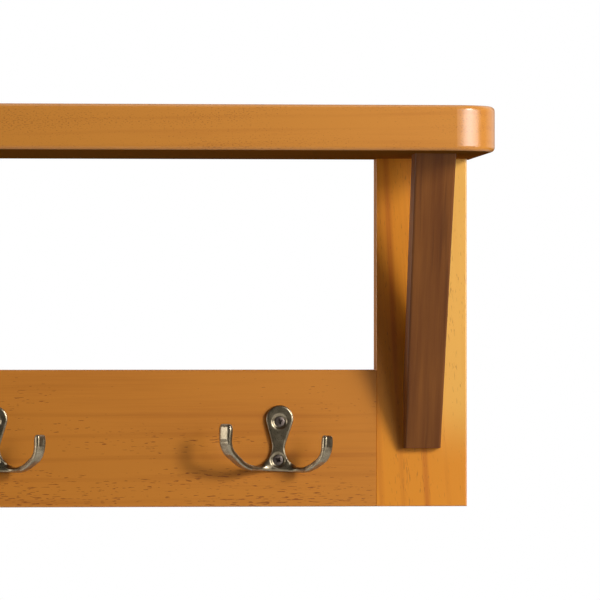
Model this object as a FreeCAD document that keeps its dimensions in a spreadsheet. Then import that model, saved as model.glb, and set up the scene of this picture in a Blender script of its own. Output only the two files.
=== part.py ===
import FreeCAD, Part
import math
import os
import Sketcher

# Wall shelf with a hook rail. X runs along the shelf, -Y points to the room and Z points up.
# The origin is the centre of the rail's back face, which lies on the wall.

V = FreeCAD.Vector

# Driving dimensions, in millimetres and degrees
SIZES = {
    # frame of two stiles and the rail between them
    "rail_length": 503,
    "rail_height": 90,
    "frame_thick": 18,
    "stile_width": 60,
    "window_height": 139,
    "board_round": 1.0,
    "joint_ease": 0.5,
    # shelf board
    "shelf_overhang": 5.5,
    "shelf_depth": 150,
    "shelf_thick": 29,
    "shelf_corner": 27,
    "shelf_round": 3,
    # braces, measured along the wall, from the wall and up it
    "brace_head_width": 26.2,
    "brace_foot_width": 23.8,
    "brace_depth": 26,
    "brace_reach": 88,
    "brace_toe": 6.7,
    "brace_rise": 190.5,
    "brace_round": 1.6,
    # dowels
    "dowel_diameter": 8,
    "dowel_length": 30,
    "rail_dowel_inset": 20,
    "stile_dowel_inset": 14,
    "brace_dowel_diameter": 6,
    "brace_dowel_length": 24,
    "dowel_clearance": 0.05,
    "dowel_end_gap": 1,
    # double hooks: plate
    "hook_inset": 64.5,
    "hook_drop": 1.6,
    "hook_turn_left": 0,
    "hook_turn_middle": 0.8,
    "hook_turn_right": 2.4,
    "plate_top": 23.4,
    "plate_bottom": 20.4,
    "plate_head_radius": 9,
    "plate_waist_width": 8.4,
    "plate_waist_drop": 4.6,
    "plate_flank_radius": 12,
    "plate_base_width": 27,
    "plate_base_round": 1.9,
    "plate_thick": 3.2,
    "plate_round": 0.9,
    "dish_diameter": 9.6,
    "dish_depth": 0.8,
    # double hooks: prongs
    "prong_thick": 3.7,
    "prong_edge_round": 0.9,
    "prong_start": 5,
    "prong_plan_radius": 12,
    "prong_projection": 27,
    "prong_low_radius": 31,
    "prong_knee_radius": 11.5,
    "prong_reach_left": 36.6,
    "prong_top_left": 8.6,
    "prong_knee_left": 6,
    "prong_low_run_left": 27,
    "prong_width_left": 10.5,
    "prong_reach_right": 29.7,
    "prong_top_right": 4.4,
    "prong_knee_right": 8.5,
    "prong_low_run_right": 24,
    "prong_width_right": 8.4,
    # countersunk screws: hook screws, brace screws, hanger screws
    "hook_screw_spacing": 25.3,
    "hook_screw_head": 7.4,
    "hook_screw_head_height": 2.0,
    "hook_screw_shank": 3.4,
    "hook_screw_length": 16,
    "brace_screw_head": 8,
    "brace_screw_head_height": 2.4,
    "brace_screw_shank": 4,
    "brace_screw_length": 26,
    "brace_screw_rise": 27,
    "brace_screw_sink": 0.5,
    "hanger_screw_head": 5,
    "hanger_screw_head_height": 1.3,
    "hanger_screw_shank": 2.6,
    "hanger_screw_length": 12,
    "screw_clearance": 0.05,
    "screw_point": 3,
    "screw_end_gap": 1,
    "recess_width": 0.9,
    "recess_depth": 1.1,
    "recess_share": 0.56,
    # keyhole hanger plates in the backs of the stiles
    "hanger_width": 18,
    "hanger_height": 50,
    "hanger_thick": 1.6,
    "hanger_clearance": 0.1,
    "hanger_drop": 40,
    "hanger_screw_inset": 5,
    "keyhole_diameter": 9,
    "keyhole_slot": 4.5,
    "keyhole_travel": 10,
    "keyhole_room": 1.5,
    "keyhole_depth": 8,
}

DOCUMENT = FreeCAD.newDocument("wall_shelf")
SHEET = DOCUMENT.addObject("Spreadsheet::Sheet", "Sizes")
SIDES = {"left": -1, "right": 1}
HOOKS = {"left": -1, "middle": 0, "right": 1}
NODES = []
PRONG_SECTIONS = 18

# Places that several pieces share, as expressions of the sheet
FACE = "-Sizes.frame_thick"
MID_THICK = "-Sizes.frame_thick / 2"
UNDERSIDE = "(Sizes.rail_height / 2 + Sizes.window_height)"
STILE_CENTRE = "(Sizes.rail_length + Sizes.stile_width) / 2"
TOE_HEIGHT = UNDERSIDE + " - Sizes.brace_rise"
HANGER_HEIGHT = UNDERSIDE + " - Sizes.hanger_drop"
HOOK_PITCH = "(Sizes.rail_length / 2 - Sizes.hook_inset)"


def fill_sheet():
    """Write each size as a plain number with its alias."""
    for row, (alias, value) in enumerate(SIZES.items(), start=1):
        SHEET.set(f"A{row}", alias.replace("_", " "))
        SHEET.set(f"B{row}", str(value))
        SHEET.setAlias(f"B{row}", alias)
    DOCUMENT.recompute()


def size(alias):
    """Return a size from the sheet as a number."""
    return float(SHEET.get(alias))


def bind(item, **expressions):
    """Bind properties of an object to expressions of the sheet."""
    for name, expression in expressions.items():
        item.setExpression(name, expression)


def put(item, x="0", y="0", z="0"):
    """Bind the place of an object to expressions of the sheet."""
    for axis, expression in (("x", x), ("y", y), ("z", z)):
        item.setExpression(f".Placement.Base.{axis}", str(expression))


def node(item, label):
    """Name an object as a finished piece."""
    item.Label = label
    NODES.append(item)
    return item


# Bodies with sketches

def own_plane(body, role):
    """Return one of a body's own origin planes."""
    return next(item for item in body.Origin.OriginFeatures if item.Role == role)


def rectangle(body, name, role, width, height):
    """Sketch a rectangle centred on the plane's origin."""
    sketch = body.newObject("Sketcher::SketchObject", name)
    sketch.AttachmentSupport = [(own_plane(body, role), "")]
    sketch.MapMode = "FlatFace"
    corners = [V(-5, -5, 0), V(5, -5, 0), V(5, 5, 0), V(-5, 5, 0)]
    for index, corner in enumerate(corners):
        sketch.addGeometry(Part.LineSegment(corner, corners[(index + 1) % 4]), False)
    for index in range(4):
        sketch.addConstraint(Sketcher.Constraint("Coincident", index, 2, (index + 1) % 4, 1))
    for index, direction in enumerate(("Horizontal", "Vertical", "Horizontal", "Vertical")):
        sketch.addConstraint(Sketcher.Constraint(direction, index))
    sketch.addConstraint(Sketcher.Constraint("Symmetric", 0, 1, 2, 1, -1, 1))
    wide = sketch.addConstraint(Sketcher.Constraint("DistanceX", 0, 1, 0, 2, 10))
    high = sketch.addConstraint(Sketcher.Constraint("DistanceY", 1, 1, 1, 2, 10))
    sketch.setExpression(f"Constraints[{wide}]", width)
    sketch.setExpression(f"Constraints[{high}]", height)
    DOCUMENT.recompute()
    return sketch


def pad(body, name, sketch, length):
    """Thicken a sketch along its normal."""
    feature = body.newObject("PartDesign::Pad", name)
    feature.Profile = sketch
    feature.setExpression("Length", length)
    DOCUMENT.recompute()
    return feature


def fillet(body, name, base, radius, chosen):
    """Round the edges whose bounding box passes the test."""
    edges = [f"Edge{i}" for i, edge in enumerate(base.Shape.Edges, start=1) if chosen(edge.BoundBox)]
    if not edges:
        raise RuntimeError(f"{name} found no edge to round")
    feature = body.newObject("PartDesign::Fillet", name)
    feature.Base = (base, edges)
    feature.setExpression("Radius", radius)
    DOCUMENT.recompute()
    return feature


def near(first, second):
    """Tell whether two lengths agree to a hundredth of a millimetre."""
    return abs(first - second) < 0.01


# Rods, holes and screws

TURN_TO = {
    "x": FreeCAD.Rotation(V(0, 1, 0), 90),
    "y": FreeCAD.Rotation(V(1, 0, 0), -90),
    "z": FreeCAD.Rotation(),
}


def rod(name, diameter, length, axis, centre):
    """Make a cylinder along an axis, centred on a point given as expressions."""
    item = DOCUMENT.addObject("Part::Cylinder", name)
    bind(item, Radius=f"({diameter}) / 2", Height=length)
    item.Placement = FreeCAD.Placement(V(), TURN_TO[axis])
    place = dict(zip("xyz", centre))
    place[axis] = f"{place[axis]} - ({length}) / 2"
    put(item, **place)
    return item


def block(name, width, depth, height, x, y, z):
    """Make a box centred on x and z, whose back is at y."""
    item = DOCUMENT.addObject("Part::Box", name)
    bind(item, Length=width, Width=depth, Height=height)
    put(item, f"{x} - ({width}) / 2", f"{y} - ({depth})", f"{z} - ({height}) / 2")
    return item


def fuse(name, pieces):
    """Join several shapes into one."""
    item = DOCUMENT.addObject("Part::MultiFuse", name)
    item.Shapes = pieces
    item.Refine = True
    return item


def cut(name, base, tools):
    """Take shapes away from a base shape."""
    item = DOCUMENT.addObject("Part::Cut", name)
    item.Base = base
    item.Tool = tools[0] if len(tools) == 1 else fuse(name + "_tools", tools)
    item.Refine = True
    return item


def screw_solids(name, kind, growth, end_gap):
    """Make a screw's head, shank and point, heading up Z, as the screw or as its hole."""
    radius = f"(Sizes.{kind}_shank / 2 + {growth})"
    head_height = f"Sizes.{kind}_head_height"
    length = f"(Sizes.{kind}_length + {end_gap})"
    head = DOCUMENT.addObject("Part::Cone", name + "_head")
    bind(head, Radius1=radius, Radius2=f"Sizes.{kind}_head / 2 + {growth}", Height=head_height)
    put(head, z="-" + head_height)
    shank = DOCUMENT.addObject("Part::Cylinder", name + "_shank")
    bind(shank, Radius=radius, Height=f"{length} - Sizes.screw_point - {head_height}")
    put(shank, z=f"Sizes.screw_point - {length}")
    point = DOCUMENT.addObject("Part::Cone", name + "_point")
    bind(point, Radius1="0", Radius2=radius, Height="Sizes.screw_point")
    put(point, z="-" + length)
    return [head, shank, point]


def aim(item, x, y, z, facing):
    """Turn a screw's head towards the room or the wall, and put it in its place."""
    item.Placement = FreeCAD.Placement(V(), FreeCAD.Rotation(V(1, 0, 0), 90 * facing))
    put(item, x, y, z)
    return item


def screw(label, kind, x, y, z, facing):
    """Make a countersunk screw with a crossed recess, head at the given place."""
    stem = fuse(label + "_stem", screw_solids(label, kind, "0", "0"))
    span = f"Sizes.{kind}_head * Sizes.recess_share"
    slots = []
    for index, (across, along) in enumerate(((span, "Sizes.recess_width"), ("Sizes.recess_width", span))):
        slot = DOCUMENT.addObject("Part::Box", f"{label}_slot_{index}")
        bind(slot, Length=across, Width=along, Height="Sizes.recess_depth")
        put(slot, f"-({across}) / 2", f"-({along}) / 2", "-Sizes.recess_depth")
        slots.append(slot)
    item = cut(label + "_screw", stem, slots)
    return node(aim(item, x, y, z, facing), label)


def screw_hole(name, kind, x, y, z, facing):
    """Make the hole of a screw, a clearance wider all round and a gap longer."""
    item = fuse(name, screw_solids(name, kind, "Sizes.screw_clearance", "Sizes.screw_end_gap"))
    return aim(item, x, y, z, facing)


TO_ROOM, TO_WALL = 1, -1


# Places that repeat

def at_side(side, expression):
    """Mirror a place to the left or the right."""
    return f"{SIDES[side]} * ({expression})"


def rail_dowel_places():
    """Yield the name and centre of each dowel between the rail and a stile."""
    for side in SIDES:
        for level, sign in (("upper", 1), ("lower", -1)):
            x = at_side(side, "Sizes.rail_length / 2")
            height = f"{sign} * (Sizes.rail_height / 2 - Sizes.rail_dowel_inset)"
            yield side, f"rail_dowel_{side}_{level}", (x, MID_THICK, height)


def stile_dowel_places():
    """Yield the name and centre of each dowel between a stile and the shelf."""
    for side in SIDES:
        for place, sign in (("inner", -1), ("outer", 1)):
            shift = f"{sign} * (Sizes.stile_width / 2 - Sizes.stile_dowel_inset)"
            x = at_side(side, f"{STILE_CENTRE} + {shift}")
            yield side, f"shelf_dowel_{side}_{place}", (x, MID_THICK, UNDERSIDE)


def brace_dowel_place(side):
    """Return the centre of the dowel in a brace's head, set back by half of the brace's slope."""
    slope = "(Sizes.brace_reach - Sizes.brace_toe) / Sizes.brace_rise"
    back = f"Sizes.brace_depth / 2 + {slope} * Sizes.brace_dowel_length / 4"
    return (at_side(side, STILE_CENTRE), f"{FACE} - Sizes.brace_reach + {back}", UNDERSIDE)


def brace_screw_place(side):
    """Return the place of the screw head behind a brace's foot."""
    height = f"{TOE_HEIGHT} + Sizes.brace_screw_rise"
    return (at_side(side, STILE_CENTRE), "-Sizes.brace_screw_sink", height)


def hanger_screw_places(side):
    """Yield the level and place of each screw head in a hanger plate."""
    for level, sign in (("upper", 1), ("lower", -1)):
        height = f"{HANGER_HEIGHT} + {sign} * (Sizes.hanger_height / 2 - Sizes.hanger_screw_inset)"
        yield level, (at_side(side, STILE_CENTRE), "0", height)


def hook_screw_places(name):
    """Yield the level and place of each screw head in a hook, turned with the hook."""
    turn = f"(Sizes.hook_turn_{name} * 1 deg)"
    for level, sign in (("upper", 1), ("lower", -1)):
        arm = f"{sign} * Sizes.hook_screw_spacing / 2"
        x = f"{HOOKS[name]} * {HOOK_PITCH} + {arm} * sin{turn}"
        z = f"-Sizes.hook_drop + {arm} * cos{turn}"
        yield level, (x, f"{FACE} - Sizes.plate_thick + Sizes.dish_depth", z)


def dowel_hole(name, axis, centre, kind="dowel"):
    """Make the hole that a dowel shares between its two pieces."""
    length = f"Sizes.{kind}_length + 2 * Sizes.dowel_end_gap"
    return rod(name, f"Sizes.{kind}_diameter + 2 * Sizes.dowel_clearance", length, axis, centre)


# Boards

def make_shelf():
    """Make the shelf board, with rounded front corners and rounded edges."""
    body = DOCUMENT.addObject("PartDesign::Body", "ShelfBody")
    length = "Sizes.rail_length + 2 * Sizes.stile_width + 2 * Sizes.shelf_overhang"
    sketch = rectangle(body, "ShelfPlan", "XY_Plane", length, "Sizes.shelf_depth")
    board = pad(body, "ShelfPad", sketch, "Sizes.shelf_thick")
    front = -size("shelf_depth") / 2
    back = size("shelf_depth") / 2
    thick = size("shelf_thick")
    corners = fillet(body, "ShelfCorners", board, "Sizes.shelf_corner",
                     lambda box: near(box.ZLength, thick) and near(box.YMax, front))
    fillet(body, "ShelfEdges", corners, "Sizes.shelf_round",
           lambda box: near(box.ZLength, 0) and not near(box.YMin, back))
    put(body, "0", "-Sizes.shelf_depth / 2", UNDERSIDE)
    holes = [dowel_hole(f"{name}_hole_in_shelf", "z", centre) for _, name, centre in stile_dowel_places()]
    for side in SIDES:
        holes.append(dowel_hole(f"brace_{side}_hole_in_shelf", "z", brace_dowel_place(side), "brace_dowel"))
    node(cut("ShelfBoard", body, holes), "shelf_board")


def make_rail():
    """Make the hook rail, eased along its front edges and drilled for dowels and hook screws."""
    body = DOCUMENT.addObject("PartDesign::Body", "RailBody")
    sketch = rectangle(body, "RailFront", "XZ_Plane", "Sizes.rail_length", "Sizes.rail_height")
    board = pad(body, "RailPad", sketch, "Sizes.frame_thick")
    fillet(body, "RailEdges", board, "Sizes.board_round",
           lambda box: near(box.XLength, size("rail_length")) and near(box.YMax, -size("frame_thick")))
    holes = [dowel_hole(f"{name}_hole_in_rail", "x", centre) for _, name, centre in rail_dowel_places()]
    for name in HOOKS:
        for level, place in hook_screw_places(name):
            holes.append(screw_hole(f"hook_{name}_{level}_pilot", "hook_screw", *place, TO_ROOM))
    node(cut("HookRail", body, holes), "hook_rail")


def make_stile(side):
    """Make a stile, eased on its front edges, with the hanger's recess in its back."""
    body = DOCUMENT.addObject("PartDesign::Body", f"StileBody_{side}")
    height = "Sizes.rail_height + Sizes.window_height"
    sketch = rectangle(body, f"StileFront_{side}", "XZ_Plane", "Sizes.stile_width", height)
    board = pad(body, f"StilePad_{side}", sketch, "Sizes.frame_thick")
    front = -size("frame_thick")
    outer = SIDES[side] * size("stile_width") / 2
    low = -(size("rail_height") + size("window_height")) / 2

    def on_outside(box):
        at_side_edge = near(box.XMin, outer) and near(box.XMax, outer)
        return near(box.YMax, front) and (near(box.ZMax, low) or at_side_edge)

    def at_joint(box):
        return near(box.YMax, front) and near(box.XMin, -outer) and near(box.XMax, -outer)

    rounded = fillet(body, f"StileEdges_{side}", board, "Sizes.board_round", on_outside)
    fillet(body, f"StileJoint_{side}", rounded, "Sizes.joint_ease", at_joint)
    put(body, at_side(side, STILE_CENTRE), "0", "Sizes.window_height / 2")

    holes = [dowel_hole(f"{name}_hole_in_stile", axis, centre)
             for axis, places in (("x", rail_dowel_places()), ("z", stile_dowel_places()))
             for own, name, centre in places if own == side]
    holes.append(screw_hole(f"brace_{side}_screw_hole", "brace_screw", *brace_screw_place(side), TO_WALL))
    holes.extend(hanger_recess(side))
    node(cut(f"Stile_{side}", body, holes), f"{side}_stile")


def hanger_recess(side):
    """Make the shallow recess of a hanger plate, the room behind its keyhole and its screw holes."""
    x = at_side(side, STILE_CENTRE)
    grown = "2 * Sizes.hanger_clearance"
    seat = block(f"hanger_{side}_seat", f"Sizes.hanger_width + {grown}", "Sizes.hanger_thick",
                 f"Sizes.hanger_height + {grown}", x, "0", HANGER_HEIGHT)
    room_width = "Sizes.keyhole_diameter + 2 * Sizes.keyhole_room"
    room = block(f"hanger_{side}_room", room_width, "Sizes.keyhole_depth + Sizes.hanger_thick",
                 f"{room_width} + Sizes.keyhole_travel", x, "0", HANGER_HEIGHT)
    tools = [seat, room]
    for level, place in hanger_screw_places(side):
        tools.append(screw_hole(f"hanger_{side}_{level}_pilot", "hanger_screw", *place, TO_WALL))
    return tools


def make_brace(side):
    """Make a brace: a tapered strut cut level at its head and upright at its foot."""
    body = DOCUMENT.addObject("PartDesign::Body", f"BraceBody_{side}")
    strut = body.newObject("PartDesign::AdditiveWedge", f"BraceStrut_{side}")
    strut.AttachmentSupport = [(own_plane(body, "XZ_Plane"), "")]
    strut.MapMode = "FlatFace"
    bind(strut,
         Xmin="-Sizes.brace_foot_width / 2", Xmax="Sizes.brace_foot_width / 2",
         Ymin="0", Ymax="Sizes.brace_rise",
         Zmin="Sizes.brace_toe - Sizes.brace_depth", Zmax="Sizes.brace_toe",
         X2min="-Sizes.brace_head_width / 2", X2max="Sizes.brace_head_width / 2",
         Z2min="Sizes.brace_reach - Sizes.brace_depth", Z2max="Sizes.brace_reach")
    DOCUMENT.recompute()
    behind = rectangle(body, f"BraceBehind_{side}", "XZ_Plane", "2 * Sizes.brace_head_width",
                       "2.2 * Sizes.brace_rise")
    trim = body.newObject("PartDesign::Pocket", f"BraceTrim_{side}")
    trim.Profile = behind
    trim.setExpression("Length", "Sizes.brace_depth + Sizes.brace_reach")
    DOCUMENT.recompute()
    if trim.Shape.BoundBox.YMax > 0.01 or trim.Shape.Volume >= strut.Shape.Volume:
        raise RuntimeError("the brace's foot was not trimmed")
    fillet(body, f"BraceEdges_{side}", trim, "Sizes.brace_round",
           lambda box: box.ZLength > size("brace_rise") / 2 and box.XLength < size("brace_depth") / 4)
    put(body, at_side(side, STILE_CENTRE), FACE, TOE_HEIGHT)
    holes = [
        dowel_hole(f"brace_{side}_hole_in_head", "z", brace_dowel_place(side), "brace_dowel"),
        screw_hole(f"brace_{side}_pilot", "brace_screw", *brace_screw_place(side), TO_WALL),
    ]
    node(cut(f"Brace_{side}", body, holes), f"{side}_brace")


# Dowels and hanger plates

def make_dowels():
    """Make every dowel, centred on the joint that it pins."""
    for _, name, centre in rail_dowel_places():
        node(rod(name, "Sizes.dowel_diameter", "Sizes.dowel_length", "x", centre), name)
    for _, name, centre in stile_dowel_places():
        node(rod(name, "Sizes.dowel_diameter", "Sizes.dowel_length", "z", centre), name)
    for side in SIDES:
        name = f"brace_dowel_{side}"
        node(rod(name, "Sizes.brace_dowel_diameter", "Sizes.brace_dowel_length", "z",
                 brace_dowel_place(side)), name)


def make_hanger(side):
    """Make a keyhole plate, flush with the back of its stile."""
    x = at_side(side, STILE_CENTRE)
    plate = block(f"hanger_{side}_blank", "Sizes.hanger_width", "Sizes.hanger_thick", "Sizes.hanger_height",
                  x, "0", HANGER_HEIGHT)
    across = "3 * Sizes.hanger_thick"
    entry = rod(f"hanger_{side}_entry", "Sizes.keyhole_diameter", across, "y",
                (x, "0", f"{HANGER_HEIGHT} - Sizes.keyhole_travel / 2"))
    slot = block(f"hanger_{side}_slot", "Sizes.keyhole_slot", across, "Sizes.keyhole_travel",
                 x, "Sizes.hanger_thick", HANGER_HEIGHT)
    seat = rod(f"hanger_{side}_rest", "Sizes.keyhole_slot", across, "y",
               (x, "0", f"{HANGER_HEIGHT} + Sizes.keyhole_travel / 2"))
    tools = [entry, slot, seat]
    for level, place in hanger_screw_places(side):
        tools.append(screw_hole(f"hanger_{side}_{level}_hole", "hanger_screw", *place, TO_WALL))
    node(cut(f"Hanger_{side}", plate, tools), f"hanger_plate_{side}")


def make_screws():
    """Make the screws of the hooks, the braces and the hanger plates."""
    for name in HOOKS:
        for level, place in hook_screw_places(name):
            screw(f"hook_screw_{name}_{level}", "hook_screw", *place, TO_ROOM)
    for side in SIDES:
        screw(f"brace_screw_{side}", "brace_screw", *brace_screw_place(side), TO_WALL)
        for level, place in hanger_screw_places(side):
            screw(f"hanger_screw_{side}_{level}", "hanger_screw", *place, TO_WALL)


# Cast hooks, drawn about the middle of their two screws, with the wall side at Y = 0

def polar(centre, radius, angle):
    """Return the point on a circle at an angle, in the upright plane."""
    return centre + V(radius * math.cos(angle), 0, radius * math.sin(angle))


def mirrored(point):
    """Return the point's mirror image, left for right."""
    return V(-point.x, point.y, point.z)


def plate_outline():
    """Draw the pear-shaped plate: a round head, straight flanks, a waist and a spread base."""
    head_radius = size("plate_head_radius")
    flank_radius = size("plate_flank_radius")
    head = V(0, 0, size("plate_top") - head_radius)
    flank = V(size("plate_waist_width") / 2 + flank_radius, 0, -size("plate_waist_drop"))
    line = flank - head
    normal = math.atan2(line.z, line.x) + math.acos((head_radius + flank_radius) / line.Length)
    leave = polar(head, head_radius, normal)
    meet = polar(flank, -flank_radius, normal)
    half_base = size("plate_base_width") / 2
    spread = math.acos((half_base - flank.x) / flank_radius)
    waist = polar(flank, flank_radius, -(math.pi + spread) / 2)
    base = polar(flank, flank_radius, -spread)
    low = -size("plate_bottom")
    rounding = size("plate_base_round")
    corner = V(half_base - rounding, 0, low + rounding)
    side = V(half_base, 0, corner.z)
    under = V(corner.x, 0, low)

    right = [
        Part.LineSegment(leave, meet),
        Part.Arc(meet, waist, base),
        Part.LineSegment(base, side),
        Part.Arc(side, polar(corner, rounding, -math.pi / 4), under),
    ]
    left = [
        Part.LineSegment(mirrored(leave), mirrored(meet)),
        Part.Arc(mirrored(meet), mirrored(waist), mirrored(base)),
        Part.LineSegment(mirrored(base), mirrored(side)),
        Part.Arc(mirrored(side), mirrored(polar(corner, rounding, -math.pi / 4)), mirrored(under)),
    ]
    top = Part.Arc(leave, V(0, 0, size("plate_top")), mirrored(leave))
    bottom = Part.LineSegment(under, mirrored(under))
    edges = [curve.toShape() for curve in [top, bottom, *right, *left]]
    return Part.Wire(Part.__sortEdges__(edges))


def make_plate():
    """Make the plate, with its front edge rounded."""
    thick = size("plate_thick")
    solid = Part.Face(plate_outline()).extrude(V(0, -thick, 0))
    rim = [edge for edge in solid.Edges
           if near(edge.BoundBox.YMin, -thick) and near(edge.BoundBox.YMax, -thick)]
    return solid.makeFillet(size("plate_round"), rim)


def bent_line(points, radii):
    """Join points by straight runs, with a tangent arc of the given radius at each inner point."""
    edges = []
    start = points[0]
    for before, corner, after, radius in zip(points, points[1:], points[2:], radii):
        inward = (before - corner).normalize()
        outward = (after - corner).normalize()
        half_turn = (math.pi - inward.getAngle(outward)) / 2
        first = corner + inward * radius * math.tan(half_turn)
        last = corner + outward * radius * math.tan(half_turn)
        bisector = (inward + outward).normalize()
        middle = corner + bisector * radius * (1 / math.cos(half_turn) - 1)
        edges.append(Part.LineSegment(start, first).toShape())
        edges.append(Part.Arc(first, middle, last).toShape())
        start = last
    edges.append(Part.LineSegment(start, points[-1]).toShape())
    return Part.Wire(edges)


def prong_plan(side):
    """Return a prong's length in plan, and the function that gives its place and turn along it."""
    start = size("prong_start")
    radius = size("prong_plan_radius")
    out = size("prong_reach_" + side) - start
    forward = size("prong_projection") - size("plate_thick") / 2
    apart = math.hypot(out, forward - radius)
    bend = math.atan2(forward - radius, out) + math.asin(radius / apart)
    arc = radius * bend
    straight = math.sqrt(apart ** 2 - radius ** 2)

    def place(along):
        before = min(along, start)
        turned = min(max((along - start) / radius, 0), bend)
        after = max(along - start - arc, 0)
        x = before + radius * math.sin(turned) + after * math.cos(bend)
        y = radius * (1 - math.cos(turned)) + after * math.sin(bend)
        return x, y, turned

    return start + arc + straight, place


def rounded_section(centre, across, upward, width, thick):
    """Draw a rectangle with rounded corners in the plane of two directions."""
    radius = size("prong_edge_round")
    arc_share = 1 - math.sqrt(0.5)
    half_width, half_thick = width / 2, thick / 2
    edges = []
    last = None
    first = None
    for a, b in ((1, 1), (-1, 1), (-1, -1), (1, -1)):
        on_side = (a * half_width, b * (half_thick - radius))
        on_top = (a * (half_width - radius), b * half_thick)
        corner = (a * (half_width - radius * arc_share), b * (half_thick - radius * arc_share))
        begin, finish = (on_side, on_top) if a * b > 0 else (on_top, on_side)
        begin, middle, finish = (centre + across * u + upward * v for u, v in (begin, corner, finish))
        if last is not None:
            edges.append(Part.LineSegment(last, begin).toShape())
        edges.append(Part.Arc(begin, middle, finish).toShape())
        first = first or begin
        last = finish
    edges.append(Part.LineSegment(last, first).toShape())
    return Part.Wire(edges)


def make_prong(side):
    """Make a prong: a strip that leaves the plate sideways, bends out from the wall and then up."""
    thick = size("prong_thick")
    back = size("plate_thick") / 2
    run, plan = prong_plan(side)
    low = thick / 2 - size("plate_bottom")
    line = bent_line([
        V(0, 0, low),
        V(size("prong_low_run_" + side), 0, low),
        V(run, 0, -size("prong_knee_" + side)),
        V(run, 0, size("prong_top_" + side)),
    ], (size("prong_low_radius"), size("prong_knee_radius")))
    sections = []
    points = line.discretize(Number=PRONG_SECTIONS)
    for before, point, after in zip([points[0], *points], points, [*points[1:], points[-1]]):
        x, y, turned = plan(point.x)
        slope = math.atan2(after.z - before.z, after.x - before.x)
        ahead = V(math.cos(turned), -math.sin(turned), 0)
        across = V(math.sin(turned), math.cos(turned), 0)
        upward = V(0, 0, math.cos(slope)) - ahead * math.sin(slope)
        share = len(sections) / (PRONG_SECTIONS - 1)
        width = size("plate_thick") * (1 - share) + size("prong_width_" + side) * share
        sections.append(rounded_section(V(x, -back - y, point.z), across, upward, width, thick))
    prong = Part.makeLoft(sections, True, True)
    return prong if SIDES[side] > 0 else prong.mirror(V(), V(1, 0, 0))


def screw_seats():
    """Return the dished seat and the countersunk hole of both screws of a hook."""
    seats = []
    floor = size("dish_depth") - size("plate_thick")
    gap = size("screw_clearance")
    head_radius = size("hook_screw_head") / 2 + gap
    shank_radius = size("hook_screw_shank") / 2 + gap
    head_height = size("hook_screw_head_height")
    for sign in (1, -1):
        height = sign * size("hook_screw_spacing") / 2
        outside = V(0, floor - size("prong_projection"), height)
        centre = V(0, floor, height)
        inside = V(0, floor + head_height, height)
        to_wall = V(0, 1, 0)
        dish_radius = size("dish_diameter") / 2
        seats.append(Part.makeCylinder(dish_radius, size("prong_projection"), outside, to_wall))
        seats.append(Part.makeCone(head_radius, shank_radius, head_height, centre, to_wall))
        seats.append(Part.makeCylinder(shank_radius, size("plate_thick"), inside, to_wall))
    return seats


def make_hooks():
    """Make the cast double hooks: plate and prongs in one piece, trimmed flat on the wall side."""
    prongs = [make_prong(side) for side in SIDES]
    casting = make_plate().fuse(prongs)
    reach = 3 * max(size("prong_reach_left"), size("prong_reach_right"))
    room = Part.makeBox(reach, reach, reach, V(-reach / 2, -reach, -reach / 2))
    casting = casting.common(room).cut(screw_seats()).removeSplitter()
    pitch = size("rail_length") / 2 - size("hook_inset")
    for name, place in HOOKS.items():
        item = DOCUMENT.addObject("Part::Feature", f"Hook_{name}")
        item.Shape = casting.Solids[0] if len(casting.Solids) == 1 else casting
        turn = FreeCAD.Rotation(V(0, 1, 0), size("hook_turn_" + name))
        centre = V(place * pitch, -size("frame_thick"), -size("hook_drop"))
        item.Placement = FreeCAD.Placement(centre, turn)
        node(item, f"hook_{name}")


# Checks and files

def check_document():
    """Stop if any object failed, or any piece isn't one valid solid."""
    for item in DOCUMENT.Objects:
        if {"Invalid", "Error"} & set(item.State):
            raise RuntimeError(f"{item.Label} failed: {item.State}")
    for item in NODES:
        shape = item.Shape
        if shape.isNull() or not shape.isValid() or len(shape.Solids) != 1:
            raise RuntimeError(f"{item.Label} is not one valid solid")


def write_pieces():
    """Write each piece to its own file."""
    os.makedirs("parts", exist_ok=True)
    for item in NODES:
        item.Shape.exportStep(f"parts/{item.Label}.step")
        print(item.Label, round(item.Shape.Volume / 1000, 2), "cm3")


fill_sheet()
make_shelf()
make_rail()
for each_side in SIDES:
    make_stile(each_side)
    make_brace(each_side)
    make_hanger(each_side)
make_dowels()
make_screws()
make_hooks()
DOCUMENT.recompute()
check_document()
write_pieces()
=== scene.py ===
# %% [markdown]
# # A wooden wall shelf with coat hooks
# This lesson dresses a imported model of a wall shelf: a thick shelf board on two stiles, a rail
# between them with three cast double hooks, and two dark diagonal braces.
# The imported model is loaded first. Its pieces are in metres, with X along the shelf, -Y to the
# room and Z up, and they are never moved.

# %% Load the model
import math

import bpy
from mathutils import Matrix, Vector


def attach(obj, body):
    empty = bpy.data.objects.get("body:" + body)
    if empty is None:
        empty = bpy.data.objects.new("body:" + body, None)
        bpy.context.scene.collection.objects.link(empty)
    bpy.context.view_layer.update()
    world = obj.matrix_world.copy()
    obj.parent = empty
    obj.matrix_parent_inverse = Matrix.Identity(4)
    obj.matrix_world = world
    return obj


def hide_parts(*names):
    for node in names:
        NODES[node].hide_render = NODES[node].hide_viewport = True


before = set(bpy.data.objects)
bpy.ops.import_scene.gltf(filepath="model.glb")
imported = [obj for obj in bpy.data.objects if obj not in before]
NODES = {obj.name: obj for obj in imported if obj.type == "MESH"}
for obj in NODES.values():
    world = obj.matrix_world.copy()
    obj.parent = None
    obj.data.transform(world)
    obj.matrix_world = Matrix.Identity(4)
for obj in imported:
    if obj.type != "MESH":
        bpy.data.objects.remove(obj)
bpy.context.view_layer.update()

print("pieces loaded:", len(NODES))

# %% [markdown]
# ## The camera
# The picture was taken with a long lens from about three metres away, a little to the left of
# the shelf's right half and almost level with it. A long lens keeps the lines nearly parallel.
# The camera is placed at a point and turned towards another one, so both can be read here.

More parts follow.
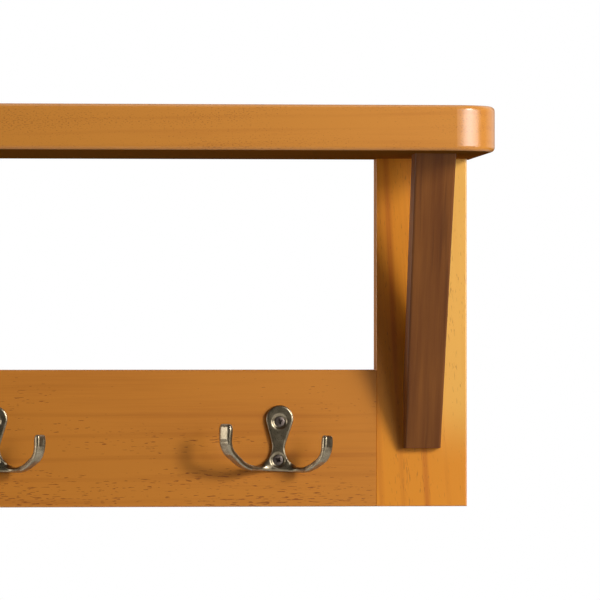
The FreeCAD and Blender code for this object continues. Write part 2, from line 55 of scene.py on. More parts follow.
# %% Place the camera
CAMERA_PLACE = Vector((-0.0331, -3.0, 0.0691))
CAMERA_AIM = Vector((0.2025, 0.0, 0.0910))
LENS_MM = 272.95

camera_data = bpy.data.cameras.new("camera")
camera_data.lens = LENS_MM
camera_data.sensor_width = 36
camera_data.clip_end = 50
camera = bpy.data.objects.new("camera", camera_data)
camera.location = CAMERA_PLACE
camera.rotation_euler = (CAMERA_AIM - CAMERA_PLACE).to_track_quat("-Z", "Y").to_euler()
bpy.context.collection.objects.link(camera)
bpy.context.scene.camera = camera
bpy.context.scene.view_settings.view_transform = "Standard"
print("camera is", round((CAMERA_AIM - CAMERA_PLACE).length, 3), "m from its aim")

# %% [markdown]
# ## Small helpers for node materials
# A material is a tree of nodes. Adding a node, setting its inputs and linking it are always the
# same three steps, so one helper does them: an input is either a value or another node's socket.
# The other helpers add the nodes that are used most: sums, ramps, mixed colours and bumps.

# %% Helpers for nodes
def fill(tree, socket, value):
    """Link an input to another node's socket, or set its value."""
    if isinstance(value, bpy.types.NodeSocket):
        tree.links.new(value, socket)
    else:
        socket.default_value = value


def add(tree, kind, **inputs):
    """Add a node and set or link its inputs; i0, i1 and so on mean an input by its number."""
    node = tree.nodes.new(kind)
    for name, value in inputs.items():
        fill(tree, node.inputs[int(name[1:]) if name[1:].isdigit() else name.replace("_", " ")], value)
    return node


def maths(tree, operation, first, second=0.0, third=0.0, clamp=False):
    """Add a Math node and return its result."""
    node = add(tree, "ShaderNodeMath", i0=first, i1=second, i2=third)
    node.operation = operation
    node.use_clamp = clamp
    return node.outputs[0]


def ramp(tree, value, low, high):
    """Map a value from low to high onto 0 to 1, with soft ends."""
    node = add(tree, "ShaderNodeMapRange", Value=value, From_Min=low, From_Max=high)
    node.interpolation_type = "SMOOTHSTEP"
    return node.outputs["Result"]


def length_of(tree, first, second):
    """Return the root of the sum of two squares."""
    squares = [maths(tree, "POWER", maths(tree, "ABSOLUTE", value), 2.0) for value in (first, second)]
    return maths(tree, "SQRT", maths(tree, "ADD", *squares))


def vectors(tree, operation, first, second):
    """Add a Vector Math node and return its vector."""
    node = add(tree, "ShaderNodeVectorMath", i0=first, i1=second)
    node.operation = operation
    return node.outputs[0]


def place_on(tree):
    """Return the place on the piece, in metres."""
    return tree.nodes.new("ShaderNodeTexCoord").outputs["Object"]


def axes(tree, vector):
    """Split a vector and return its outputs X, Y and Z."""
    return add(tree, "ShaderNodeSeparateXYZ", i0=vector).outputs


def mix(tree, factor, first, second):
    """Mix two colours and return the result."""
    node = tree.nodes.new("ShaderNodeMix")
    node.data_type = "RGBA"
    for number, value in ((0, factor), (6, first), (7, second)):
        fill(tree, node.inputs[number], value)
    return node.outputs[2]


def from_srgb(red, green, blue):
    """Turn a colour read off a screen, 0 to 255, into the linear values that shaders use."""
    def linear(channel):
        c = channel / 255
        return c / 12.92 if c <= 0.04045 else ((c + 0.055) / 1.055) ** 2.4
    return (linear(red), linear(green), linear(blue), 1.0)


def new_material(name):
    """Make an empty node material with a Principled shader."""
    material = bpy.data.materials.new(name)
    material.use_nodes = True
    tree = material.node_tree
    tree.nodes.clear()
    shader = tree.nodes.new("ShaderNodeBsdfPrincipled")
    output = tree.nodes.new("ShaderNodeOutputMaterial")
    tree.links.new(shader.outputs[0], output.inputs["Surface"])
    return material, tree, shader


def set_up(tree, shader, **inputs):
    """Set or link a shader's inputs."""
    for name, value in inputs.items():
        fill(tree, shader.inputs[name.replace("_", " ")], value)


def raise_by(tree, shader, height, strength, depth):
    """Bump a shader's surface by a height."""
    bump = add(tree, "ShaderNodeBump", Height=height, Strength=strength, Distance=depth)
    tree.links.new(bump.outputs[0], shader.inputs["Normal"])


print("helpers are ready")

# %% [markdown]
# ## Stained pine
# The boards are pine under a honey stain and a satin lacquer. Three things make it look like
# pine: broad bands of early and late wood, which run along the board; fine fibres; and short dark
# dashes where resin canals open on the face. The fibres and dashes are noise, squeezed across the
# grain and stretched along it. Each kind of board has its own place in the noise.
# The bands are rings about an axis that lies outside the board and leans a little, as the heart
# of the tree would, so that they widen and narrow as on a flat-sawn board. Noise bends them.
# Three masks follow the place on the board. The stiles have a painted sheen along their outer edges:
# a paler strip that stands in for light on the lacquer and fades out towards their feet.
# The shelf board has no lacquer on its underside, whose colour is darkened with painted shade, and its top
# is rubbed dull.

# %% Coordinates along the grain
TURN_GRAIN = {"x": 0.0, "z": math.radians(90)}


def grain_space(tree, along, start, lean=0.0):
    """Return a vector whose X runs along the grain, in metres from a chosen start."""
    turn = (0.0, TURN_GRAIN[along] + lean, 0.0)
    turned = add(tree, "ShaderNodeMapping", Vector=place_on(tree), Rotation=turn)
    return add(tree, "ShaderNodeMapping", Vector=turned.outputs[0], Location=start).outputs[0]


def stretched(tree, space, along, across):
    """Scale the space: so many units a metre along the grain and across it."""
    return add(tree, "ShaderNodeMapping", Vector=space, Scale=(along, across, across)).outputs[0]


def noise(tree, vector, scale=1.0, detail=2.0, roughness=0.5, distortion=0.0):
    """Add a noise texture and return its value."""
    node = add(tree, "ShaderNodeTexNoise", Vector=vector, Scale=scale, Detail=detail,
               Roughness=roughness, Distortion=distortion)
    return node.outputs["Fac"]


# %% The pine recipe
RING_CENTRE = (0.0, 0.05, 0.03)
WANDER = 0.012
UNDERSIDE_SHADE = (0.02, 0.01, 0.005, 1.0)
COAT, SPECULAR = 0.9, 0.15
SKIN = 0.0003


def pine(name, along, start, light, deep, dash, ring_gap, ring_share, dash_share, dash_bias=(0.0, 0.0),
         lean=0.02, bare_shaded_below=None, dull_above=None, painted_edge_sheen=None, dash_scale=(190.0, 1700.0)):
    """Make stained and lacquered pine with its grain along an axis."""
    material, tree, shader = new_material(name)
    space = grain_space(tree, along, start, lean)

    wander = add(tree, "ShaderNodeTexNoise", Vector=stretched(tree, space, 2.5, 22.0), Scale=1.0, Detail=2.0)
    shifted = vectors(tree, "SUBTRACT", wander.outputs["Color"], (0.5, 0.5, 0.5))
    bent = vectors(tree, "ADD", space, vectors(tree, "MULTIPLY", shifted, (WANDER, WANDER, WANDER)))
    heart = axes(tree, vectors(tree, "ADD", bent, RING_CENTRE))
    turns = maths(tree, "DIVIDE", length_of(tree, heart["Y"], heart["Z"]), ring_gap)
    saw = maths(tree, "FRACT", turns)
    late = ramp(tree, maths(tree, "PINGPONG", maths(tree, "POWER", saw, 1.8), 0.5), 0.22, 0.46)
    patchy = ramp(tree, noise(tree, stretched(tree, space, 3.0, 45.0)), 0.38, 0.66)
    band = maths(tree, "MULTIPLY", late, maths(tree, "MULTIPLY_ADD", patchy, 0.85, 0.15))

    fibre = noise(tree, stretched(tree, space, 22.0, 900.0), detail=3.0, roughness=0.6)
    streak = noise(tree, stretched(tree, space, 6.0, 160.0), detail=2.0)
    cloud = noise(tree, stretched(tree, space, 5.0, 12.0), detail=2.0)

    tone = maths(tree, "MULTIPLY", band, ring_share)
    tone = maths(tree, "ADD", tone, maths(tree, "MULTIPLY_ADD", streak, 0.5, -0.25))
    tone = maths(tree, "ADD", tone, maths(tree, "MULTIPLY_ADD", cloud, 0.8, -0.4))
    tone = maths(tree, "ADD", tone, maths(tree, "MULTIPLY_ADD", fibre, 0.5, -0.25), clamp=True)
    colour = mix(tree, tone, light, deep)
    here = axes(tree, place_on(tree))
    # Painted sheen: a paler strip along the stiles' outer edges stands in for light on the lacquer, and it
    # fades out towards their feet.
    if painted_edge_sheen:
        edge = maths(tree, "ADD", maths(tree, "ABSOLUTE", here["X"]), maths(tree, "MULTIPLY", streak, 0.004))
        sheen_mask = maths(tree, "MULTIPLY", ramp(tree, edge, 0.290, 0.300), ramp(tree, here["Z"], -0.02, 0.03))
        colour = mix(tree, sheen_mask, colour, mix(tree, maths(tree, "MULTIPLY", tone, 0.5), painted_edge_sheen, light))
    # Below that height the board is bare, and its colour is darkened with painted shade, as if no light
    # reached the underside.
    if bare_shaded_below:
        lacquered_unshaded = ramp(tree, here["Z"], bare_shaded_below, bare_shaded_below + SKIN)
        colour = mix(tree, lacquered_unshaded, mix(tree, 0.55, colour, UNDERSIDE_SHADE), colour)

    grains = noise(tree, stretched(tree, space, *dash_scale), detail=1.0, roughness=0.4)
    crowd = noise(tree, stretched(tree, space, 9.0, 60.0), detail=1.0)
    higher = axes(tree, space)["Z"]
    crowd = maths(tree, "ADD", crowd, maths(tree, "MULTIPLY_ADD", higher, dash_bias[0], dash_bias[1]))
    limit = maths(tree, "MULTIPLY_ADD", crowd, -0.34, 0.86)
    over = maths(tree, "SUBTRACT", grains, limit)
    dashes = maths(tree, "MULTIPLY", ramp(tree, over, 0.0, 0.045), dash_share)

    set_up(tree, shader, Base_Color=mix(tree, dashes, colour, dash),
           Roughness=maths(tree, "MULTIPLY_ADD", streak, 0.12, 0.46), Specular_IOR_Level=SPECULAR,
           Coat_Weight=COAT, Coat_Roughness=0.26, Coat_IOR=1.6)
    if bare_shaded_below:
        dull = ramp(tree, here["Z"], dull_above, dull_above + SKIN)
        gloss = maths(tree, "MULTIPLY", lacquered_unshaded, maths(tree, "MULTIPLY_ADD", dull, -0.97, 1.0))
        set_up(tree, shader, Coat_Weight=maths(tree, "MULTIPLY", gloss, COAT),
               Specular_IOR_Level=maths(tree, "MULTIPLY", gloss, SPECULAR))
    fine = maths(tree, "MULTIPLY_ADD", streak, 0.4, maths(tree, "MULTIPLY", fibre, 0.3))
    raise_by(tree, shader, maths(tree, "SUBTRACT", fine, dashes), 0.12, 0.0004)
    return material


BOARD_UNDERSIDE, BOARD_TOP = 0.184, 0.213

SHELF_PINE = pine("shelf_pine", "x", (0.31, 0.11, 0.07), from_srgb(204, 132, 46), from_srgb(180, 104, 30),
                  from_srgb(140, 76, 22), ring_gap=0.009, ring_share=0.25, dash_share=0.45,
                  bare_shaded_below=BOARD_UNDERSIDE + 0.0001, dull_above=BOARD_TOP - 0.0004,
                  dash_scale=(700.0, 1900.0), dash_bias=(0.0, 0.12))
RAIL_PINE = pine("rail_pine", "x", (0.83, 0.37, 0.29), from_srgb(202, 126, 38), from_srgb(164, 88, 18),
                 from_srgb(122, 56, 8), ring_gap=0.0085, ring_share=0.36, dash_share=0.8,
                 dash_bias=(-5.0, 1.35), lean=0.004)
STILE_PINE = pine("stile_pine", "z", (1.71, 0.53, 0.91), from_srgb(224, 140, 30), from_srgb(182, 88, 10),
                  from_srgb(150, 78, 14), ring_gap=0.011, ring_share=0.6, dash_share=0.4, lean=0.07,
                  painted_edge_sheen=from_srgb(236, 176, 78))
print("pine:", SHELF_PINE.name, RAIL_PINE.name, STILE_PINE.name)

# %% [markdown]
# ## Walnut-brown braces
# The braces carry a dark brown stain. The grain still shows as darker streaks that follow the
# slope of the brace, so the pattern's axis is leaned over by that slope.

# %% The walnut recipe
def walnut(name, start, lean):
    """Make dark stained wood with its grain along a sloping brace."""
    material, tree, shader = new_material(name)
    upright = add(tree, "ShaderNodeMapping", Vector=place_on(tree), Rotation=(lean, 0.0, 0.0))
    space = add(tree, "ShaderNodeMapping", Vector=upright.outputs[0], Location=start,
                Rotation=(0.0, math.radians(90), 0.0)).outputs[0]
    streak = noise(tree, stretched(tree, space, 7.0, 150.0), detail=3.0, roughness=0.55, distortion=0.2)
    fibre = noise(tree, stretched(tree, space, 40.0, 1100.0), detail=2.0, roughness=0.6)
    cloud = noise(tree, stretched(tree, space, 12.0, 26.0), detail=2.0)
    tone = maths(tree, "ADD", ramp(tree, streak, 0.12, 0.88), maths(tree, "MULTIPLY_ADD", fibre, 0.5, -0.25))
    tone = maths(tree, "ADD", tone, maths(tree, "MULTIPLY_ADD", cloud, 0.7, -0.35), clamp=True)
    colour = mix(tree, tone, from_srgb(96, 51, 20), from_srgb(132, 80, 35))
    vein = ramp(tree, noise(tree, stretched(tree, space, 10.0, 330.0), detail=1.0), 0.62, 0.74)
    colour = mix(tree, maths(tree, "MULTIPLY", vein, 0.3), colour, from_srgb(62, 32, 16))
    set_up(tree, shader, Base_Color=colour, Roughness=maths(tree, "MULTIPLY_ADD", fibre, 0.15, 0.38),
           Specular_IOR_Level=0.12, Coat_Weight=0.15, Coat_Roughness=0.22)
    raise_by(tree, shader, maths(tree, "SUBTRACT", fibre, vein), 0.15, 0.0003)
    return material


BRACE_REACH, BRACE_TOE, BRACE_RISE = 0.088, 0.0067, 0.1905
BRACE_SLOPE = math.atan2(BRACE_REACH - BRACE_TOE, BRACE_RISE)
WALNUT = walnut("walnut_brown", (0.40, 0.20, 0.33), -BRACE_SLOPE)
print("brace slope in degrees:", round(math.degrees(BRACE_SLOPE), 1))

# %% [markdown]
# ## Beech dowels
# The dowels are turned beech: pale, close-grained, with tiny flecks. Only their ends could ever
# be seen, but they get their own finish like everything else.

# %% The beech recipe
def beech(name):
    """Make bare beech with fine flecks."""
    material, tree, shader = new_material(name)
    place = place_on(tree)
    fleck = noise(tree, place, scale=900.0, detail=2.0)
    cloud = noise(tree, place, scale=120.0, detail=2.0)
    share = maths(tree, "MULTIPLY", ramp(tree, fleck, 0.58, 0.68), 0.5)
    colour = mix(tree, cloud, from_srgb(214, 180, 136), from_srgb(196, 158, 112))
    set_up(tree, shader, Base_Color=mix(tree, share, colour, from_srgb(150, 108, 70)), Roughness=0.6)
    raise_by(tree, shader, fleck, 0.2, 0.0002)
    return material


BEECH = beech("dowel_beech")
print("dowels:", BEECH.name)

# %% [markdown]
# ## Metals
# The hooks are cast and plated in antique pewter: a dark grey metal, a little warm, with a
# slightly uneven skin. Their screws have the same plating. The hanger plates and the other
# screws are zinc plated, with a faint yellow tint on the screws. Where a colour for worn spots is
# given, it shows where the mesh's vertex colours named "wear" are bright: partly rubbed plating,
# partly a painted highlight that makes the proud edges shine.

# %% The metal recipe
def metal(name, light, dark, roughness, grain, relief, worn_and_highlight=None):
    """Make plated metal whose colour and gloss vary a little over its skin."""
    material, tree, shader = new_material(name)
    place = place_on(tree)
    cloud = noise(tree, place, scale=grain, detail=3.0, roughness=0.6)
    fine = noise(tree, place, scale=grain * 9, detail=2.0)
    tone = maths(tree, "MULTIPLY_ADD", fine, 0.4, -0.2)
    tone = maths(tree, "ADD", ramp(tree, cloud, 0.3, 0.7), tone, clamp=True)
    colour = mix(tree, tone, dark, light)
    rough = maths(tree, "MULTIPLY_ADD", fine, 0.2, roughness - 0.1)
    # The lighter colour on proud edges is partly rubbed plating and partly a painted highlight.
    if worn_and_highlight:
        wear_and_highlight = tree.nodes.new("ShaderNodeVertexColor")
        wear_and_highlight.layer_name = "wear_and_highlight"
        rubbed_and_highlit = add(tree, "ShaderNodeSeparateColor", i0=wear_and_highlight.outputs["Color"]).outputs[0]
        rubbed_and_highlit = ramp(tree, maths(tree, "MULTIPLY_ADD", fine, 0.02, rubbed_and_highlit), 0.088, 0.130)
        colour = mix(tree, rubbed_and_highlit, colour, worn_and_highlight)
        rough = maths(tree, "MULTIPLY_ADD", rubbed_and_highlit, -0.06, rough)
    set_up(tree, shader, Base_Color=colour, Metallic=1.0, Roughness=rough)
    raise_by(tree, shader, maths(tree, "MULTIPLY_ADD", cloud, 0.6, fine), relief, 0.0002)
    return material


PEWTER = metal("antique_pewter", from_srgb(154, 141, 117), from_srgb(126, 114, 92), 0.30, 220.0, 0.12,
               worn_and_highlight=from_srgb(216, 202, 176))
PEWTER_SCREW = metal("pewter_screw", from_srgb(120, 108, 100), from_srgb(96, 86, 80), 0.42, 500.0, 0.15)
ZINC = metal("zinc_plate", from_srgb(206, 206, 210), from_srgb(176, 178, 184), 0.34, 180.0, 0.12)
STEEL = metal("plain_steel", from_srgb(214, 204, 172), from_srgb(186, 176, 140), 0.30, 400.0, 0.12)
print("metals:", PEWTER.name, PEWTER_SCREW.name, ZINC.name, STEEL.name)

# %% [markdown]
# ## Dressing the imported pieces
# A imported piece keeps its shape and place, and only its material slots are filled. Its name says
# which finish it has.

# %% Give each piece its finish
FINISHES = (
    ("shelf_board", SHELF_PINE), ("hook_rail", RAIL_PINE), ("stile", STILE_PINE), ("brace_dowel", BEECH),
    ("dowel", BEECH), ("hook_screw", PEWTER_SCREW), ("hook_", PEWTER), ("hanger_plate", ZINC),
    ("screw", STEEL), ("brace", WALNUT),
)


def finish_of(name):
    """Find the finish whose key the piece's name holds."""
    return next(material for key, material in FINISHES if key in name)


for name, piece in NODES.items():
    for slot in piece.material_slots:
        slot.material = finish_of(name)
print("dressed:", len(NODES), "pieces")

# %% [markdown]
# ## A finer casting for the hooks
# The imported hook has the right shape, but its edges are crisp and its faces are flat facets. A cast
# hook is softer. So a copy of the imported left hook, which stands upright, is moved to the middle of
# the scene, and its loose triangles are merged. Two cones flare the rims of the screw seats. The
# prongs end in rounded pads: each tip is cut off, and a bevelled block is joined on in its place.
# A voxel remesh gives the skin an even net, and smoothing rounds every edge by nearly a millimetre.
# The tips are smoothed more, and so is the root of the prongs, where they grow out of the plate.

# %% Helpers for modelling
MM = 0.001


def only(piece):
    """Make a piece the only selected one and the active one."""
    bpy.ops.object.select_all(action="DESELECT")
    piece.select_set(True)
    bpy.context.view_layer.objects.active = piece
    return piece


def modify(piece, kind, **settings):
    """Add a modifier, set it and apply it."""
    modifier = only(piece).modifiers.new(kind.lower(), kind)
    for name, value in settings.items():
        setattr(modifier, name, value)
    bpy.ops.object.modifier_apply(modifier=modifier.name)


def carve(piece, tool, operation="DIFFERENCE"):
    """Cut a tool out of a piece, or join it on, and remove the tool."""
    modify(piece, "BOOLEAN", object=tool, operation=operation, solver="EXACT")
    bpy.data.objects.remove(tool)


def smooth_where(piece, chosen, times):
    """Smooth the vertices that a test of their place in millimetres chooses."""
    only(piece)
    bpy.ops.object.mode_set(mode="EDIT")
    bpy.ops.mesh.select_mode(type="VERT")
    bpy.ops.mesh.select_all(action="DESELECT")
    bpy.ops.object.mode_set(mode="OBJECT")
    for vertex in piece.data.vertices:
        vertex.select = chosen(*(vertex.co / MM))
    bpy.ops.object.mode_set(mode="EDIT")
    bpy.ops.mesh.vertices_smooth(factor=0.5, repeat=times)
    bpy.ops.object.mode_set(mode="OBJECT")


def settle(piece, place, turn=0.0):
    """Turn a piece about Y, move it, and leave its object at the origin, unscaled."""
    only(piece)
    piece.rotation_mode = "XYZ"
    piece.rotation_euler = (0.0, math.radians(turn), 0.0)
    piece.location = place
    bpy.ops.object.transform_apply(location=True, rotation=True, scale=True)


def copy_of(piece, name):
    """Copy a piece with a mesh of its own."""
    twin = piece.copy()
    twin.data = piece.data.copy()
    twin.name = name
    bpy.context.collection.objects.link(twin)
    return twin


def paint(piece, material):
    """Give a piece one material."""
    piece.data.materials.clear()
    piece.data.materials.append(material)


# %% Model one hook
HOOK_PLACES = {"left": Vector((-0.187, -0.018, -0.0016)), "middle": Vector((0.0, -0.018, -0.0016)),
               "right": Vector((0.187, -0.018, -0.0016))}
HOOK_TURNS = {"left": 0.0, "middle": 0.8, "right": 2.4}
SCREW_ARM = 12.65 * MM
PLATE_FRONT = -3.2 * MM
SEAT_FLOOR = -2.4 * MM
SEAT_FLARE, SEAT_RADIUS, FLARE_DEPTH = 6.2 * MM, 4.1 * MM, 2.2 * MM
TIP_REACH = -27.0 * MM
TIP_CUT, CUTTER = 3, 14
# each tip: place along X, top, size of the pad, its rounding and its turn, in millimetres and degrees
TIPS = ((-36.6, 10.3, (9.7, 4.6, 12.0), 2.2, -45), (29.7, 5.3, (8.0, 4.0, 9.0), 1.4, 45))
VOXEL = 0.36 * MM

casting = only(copy_of(NODES["hook_left"], "casting"))
bpy.ops.object.mode_set(mode="EDIT")
bpy.ops.mesh.select_all(action="SELECT")
bpy.ops.mesh.remove_doubles(threshold=0.00001)
bpy.ops.object.mode_set(mode="OBJECT")
settle(casting, -HOOK_PLACES["left"])

for sign in (1, -1):
    bpy.ops.mesh.primitive_cone_add(vertices=64, radius1=SEAT_FLARE, radius2=SEAT_RADIUS, depth=FLARE_DEPTH,
                                    location=(0, PLATE_FRONT - 0.1 * MM, sign * SCREW_ARM),
                                    rotation=(math.radians(-90), 0, 0))
    carve(casting, bpy.context.object)
for x, top, size, rounding, turn in TIPS:
    above_cut = (top - TIP_CUT + CUTTER / 2) * MM
    bpy.ops.mesh.primitive_cube_add(size=CUTTER * MM, location=(x * MM, TIP_REACH, above_cut))
    carve(casting, bpy.context.object)
    bpy.ops.mesh.primitive_cube_add(size=MM, location=(x * MM, TIP_REACH, (top - size[2] / 2) * MM),
                                    scale=size, rotation=(0, 0, math.radians(turn)))
    pad = only(bpy.context.object)
    bpy.ops.object.transform_apply(location=True, rotation=True, scale=True)
    modify(pad, "BEVEL", width=rounding * MM, segments=5)
    carve(casting, pad, "UNION")
modify(casting, "REMESH", mode="VOXEL", voxel_size=VOXEL, adaptivity=0.0)
modify(casting, "SMOOTH", factor=0.5, iterations=14)
smooth_where(casting, lambda x, y, z: abs(x) > 22 and z > -8, 8)
smooth_where(casting, lambda x, y, z: abs(x) < 17 and z < -14 and (x * x + (z + 12.65) ** 2) > 34, 50)
only(casting)
bpy.ops.object.shade_smooth()
print("casting:", len(casting.data.polygons), "faces")

# %% [markdown]
# The cast skin has lost its dark plating where it is rubbed: along the edges and on the pads.
# The lighter colour there is also a painted highlight, so those edges shine more than the lamps
# alone make them. Dirt shading of vertex colours finds those edges, because they stand proud of their
# neighbours.

# %% Find the worn edges, which also get a painted highlight
only(casting)
casting.data.color_attributes.new("wear_and_highlight", "FLOAT_COLOR", "POINT")
bpy.ops.object.mode_set(mode="VERTEX_PAINT")
bpy.ops.paint.vertex_color_dirt(blur_strength=1.0, blur_iterations=2, clean_angle=math.pi, dirt_angle=0.0,
                                dirt_only=False, normalize=False)
bpy.ops.object.mode_set(mode="OBJECT")
values = [item.color[0] for item in casting.data.color_attributes["wear_and_highlight"].data]
print("wear from", round(min(values), 3), "to", round(max(values), 3))

# %% [markdown]
# The finished casting is copied to the three places. Each copy has its own mesh and stands for
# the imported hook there. It leans as much as that hook does, which is not at all for the left one.

# %% Place the hooks
for name, place in HOOK_PLACES.items():
    hook = copy_of(casting, "cast_hook_" + name)
    settle(hook, place, HOOK_TURNS[name])
    paint(hook, PEWTER)
    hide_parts("hook_" + name)
    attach(hook, "root")
bpy.data.objects.remove(casting)
print("hooks placed:", len(HOOK_PLACES))

# %% [markdown]
# ## Screws with crossed recesses
# The hooks' screws show their heads in the dished seats: low domes with a crossed recess that
# narrows inwards. The head, neck, shank and point are turned parts, joined into one, and two
# wedge-shaped blades cut the recess.

# %% Model one hook screw
SCREW_HEAD, SCREW_SHANK = 6.6 * MM, 3.4 * MM
SCREW_NECK, SCREW_POINT, SCREW_LENGTH = 1.9 * MM, 3 * MM, 16 * MM
OVERLAP = 0.1 * MM
RECESS_TURNS = (35, 125)


def turned(radius_low, radius_high, low, high):
    """Make a straight or tapered round part between two heights, the head being at zero."""
    bpy.ops.mesh.primitive_cone_add(vertices=48, radius1=radius_low, radius2=radius_high, depth=high - low,
                                    location=(0, 0, (low + high) / 2))
    return bpy.context.object


screw = turned(SCREW_SHANK / 2, SCREW_HEAD / 2, -SCREW_NECK, 0)
screw.name = "screw"
bpy.ops.mesh.primitive_uv_sphere_add(segments=48, ring_count=24, radius=SCREW_HEAD / 2 * 0.985,
                                     scale=(1, 1, 0.12))
carve(screw, bpy.context.object, "UNION")
point_start = SCREW_POINT - SCREW_LENGTH
carve(screw, turned(SCREW_SHANK / 2, SCREW_SHANK / 2, point_start, OVERLAP - SCREW_NECK), "UNION")
carve(screw, turned(0.2 * MM, SCREW_SHANK / 2, -SCREW_LENGTH, point_start + OVERLAP / 10), "UNION")
for turn in RECESS_TURNS:
    bpy.ops.mesh.primitive_cone_add(vertices=4, radius1=0.6 * MM, radius2=3.9 * MM, depth=2.4 * MM,
                                    location=(0, 0, -0.1 * MM), rotation=(0, 0, math.radians(45)))
    blade = bpy.context.object
    bpy.ops.object.transform_apply(location=False, rotation=True, scale=True)
    blade.scale = (1.0, 0.30, 1.0)
    blade.rotation_euler = (0, 0, math.radians(turn))
    bpy.ops.object.transform_apply(location=False, rotation=True, scale=True)
    carve(screw, blade)
only(screw)
bpy.ops.object.shade_smooth_by_angle(angle=math.radians(35))
bpy.ops.object.transform_apply(location=True, rotation=True, scale=True)
screw.rotation_euler = (math.radians(90), 0, 0)
bpy.ops.object.transform_apply(location=True, rotation=True, scale=True)
print("screw:", len(screw.data.polygons), "faces")

# %% Place the screws
for name, place in HOOK_PLACES.items():
    for level, sign in (("upper", 1), ("lower", -1)):
        turn = math.radians(HOOK_TURNS[name])
        arm = Vector((math.sin(turn), 0.0, math.cos(turn))) * sign * SCREW_ARM
        item = copy_of(screw, f"cross_screw_{name}_{level}")
        settle(item, place + arm + Vector((0.0, SEAT_FLOOR, 0.0)), HOOK_TURNS[name] * sign * 9)
        paint(item, PEWTER_SCREW)
        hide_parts(f"hook_screw_{name}_{level}")
        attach(item, "root")
bpy.data.objects.remove(screw)
print("screws placed:", 2 * len(HOOK_PLACES))

# %% [markdown]
# ## Floor, backdrop and light
# The shelf hangs in front of nothing, as in a catalogue: a camera ray that misses it meets white.
# Glossy and transmitted rays meet the same white behind the shelf, to either side and above, so
# metal shows the background too, while the room in front of it is dim, as a studio is. The floor
# is far below; its material mixes white with a lit surface, so it keeps the shelf's shadow.
# The key and a wide lamp stand to the right, and a fill to the left. A weak lamp above lights the
# shelf's top, and another behind lights the backs of the boards.

# %% The world
AMBIENT_LOW, AMBIENT_HIGH = 0.01, 0.10
world = bpy.data.worlds.new("studio")
bpy.context.scene.world = world
world.use_nodes = True
sky = world.node_tree
sky.nodes.clear()
ray = sky.nodes.new("ShaderNodeLightPath").outputs
toward = axes(sky, sky.nodes.new("ShaderNodeTexCoord").outputs["Generated"])
behind = ramp(sky, toward["Y"], 0.0, 0.35)
above = ramp(sky, toward["Z"], 0.15, 0.45)
beside = ramp(sky, maths(sky, "ABSOLUTE", toward["X"]), 0.30, 0.65)
around = maths(sky, "MAXIMUM", above, maths(sky, "MULTIPLY", beside, ramp(sky, toward["Z"], -0.2, 0.0)))
mirrored = maths(sky, "MAXIMUM", ray["Is Glossy Ray"], ray["Is Transmission Ray"])
backdrop = maths(sky, "MULTIPLY", mirrored, maths(sky, "MULTIPLY", behind, around))
seen = maths(sky, "MAXIMUM", ray["Is Camera Ray"], backdrop)
open_side = maths(sky, "SUBTRACT", 1.0, ramp(sky, toward["Y"], -0.2, 0.4))
open_side = maths(sky, "MAXIMUM", open_side, above)
open_side = maths(sky, "MULTIPLY", open_side, ramp(sky, toward["Z"], -0.5, 0.4))
level = maths(sky, "MULTIPLY_ADD", open_side, AMBIENT_HIGH - AMBIENT_LOW, AMBIENT_LOW)
ambient = add(sky, "ShaderNodeBackground", Color=(1.0, 0.96, 0.90, 1.0), Strength=level)
white = add(sky, "ShaderNodeBackground", Color=(1.0, 1.0, 1.0, 1.0), Strength=1.0)
chosen = add(sky, "ShaderNodeMixShader", i0=seen, i1=ambient.outputs[0], i2=white.outputs[0])
surface = sky.nodes.new("ShaderNodeOutputWorld")
sky.links.new(chosen.outputs[0], surface.inputs["Surface"])
print("world:", world.name)

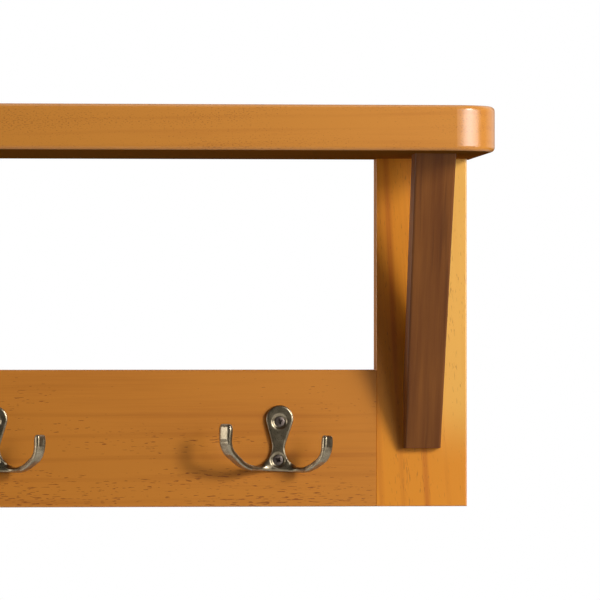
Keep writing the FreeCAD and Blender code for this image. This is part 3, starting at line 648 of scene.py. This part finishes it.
# %% The floor
FLOOR_HEIGHT, FLOOR_RADIUS = -0.60, 2.2
bpy.ops.object.select_all(action="DESELECT")
bpy.ops.mesh.primitive_circle_add(vertices=96, radius=FLOOR_RADIUS, fill_type="NGON",
                                  location=(0, 0, FLOOR_HEIGHT))
floor = bpy.context.object
floor.name = "floor"
paper, tree, shader = new_material("floor_paper")
ray = tree.nodes.new("ShaderNodeLightPath").outputs
bounce = mix(tree, ray["Is Diffuse Ray"], (0.80, 0.80, 0.80, 1.0), (0.20, 0.19, 0.18, 1.0))
set_up(tree, shader, Base_Color=bounce, Roughness=0.9, Specular_IOR_Level=0.1)
glow = add(tree, "ShaderNodeEmission", Color=(1.0, 1.0, 1.0, 1.0), Strength=1.0)
place = axes(tree, place_on(tree))
fade = maths(tree, "MAXIMUM", ramp(tree, length_of(tree, place["X"], place["Y"]), 0.9, 2.0), 0.6)
looked = maths(tree, "MAXIMUM", ray["Is Camera Ray"], ray["Is Transmission Ray"])
looked = maths(tree, "MAXIMUM", looked, maths(tree, "MULTIPLY", ray["Is Glossy Ray"], 0.3))
white_share = maths(tree, "MULTIPLY", fade, looked)
both = add(tree, "ShaderNodeMixShader", i0=white_share, i1=shader.outputs[0], i2=glow.outputs[0])
output = next(node for node in tree.nodes if node.type == "OUTPUT_MATERIAL")
tree.links.new(both.outputs[0], output.inputs["Surface"])
floor.data.materials.append(paper)
print("floor at", FLOOR_HEIGHT, "m")

# %% Lamps
def softbox(name, azimuth, elevation, distance, width, height, power, aim):
    """Place an area lamp by its direction from the point that it lights."""
    lamp = bpy.data.lights.new(name, "AREA")
    lamp.shape = "RECTANGLE"
    lamp.size = width
    lamp.size_y = height
    lamp.energy = power
    piece = bpy.data.objects.new(name, lamp)
    turn, rise = math.radians(azimuth), math.radians(elevation)
    away = Vector((math.sin(turn) * math.cos(rise), -math.cos(turn) * math.cos(rise), math.sin(rise)))
    piece.location = aim + away * distance
    piece.rotation_euler = (-away).to_track_quat("-Z", "Y").to_euler()
    bpy.context.collection.objects.link(piece)


RIGHT_END = Vector((0.30, -0.03, 0.10))
softbox("key_softbox", 39, 18, 1.8, 0.36, 0.36, 21, RIGHT_END)
softbox("side_softbox", 42, 4, 1.5, 1.2, 0.5, 12.3, RIGHT_END)
softbox("fill_softbox", -88, -3, 1.5, 1.0, 0.6, 8, RIGHT_END)
softbox("top_softbox", 10, 75, 1.4, 1.4, 0.8, 5, Vector((0.0, -0.05, 0.20)))
softbox("back_softbox", 215, 25, 1.6, 1.2, 0.8, 6, Vector((0.0, 0.0, 0.08)))
print("lamps: key from the right, fill from the left, weak ones above and behind")
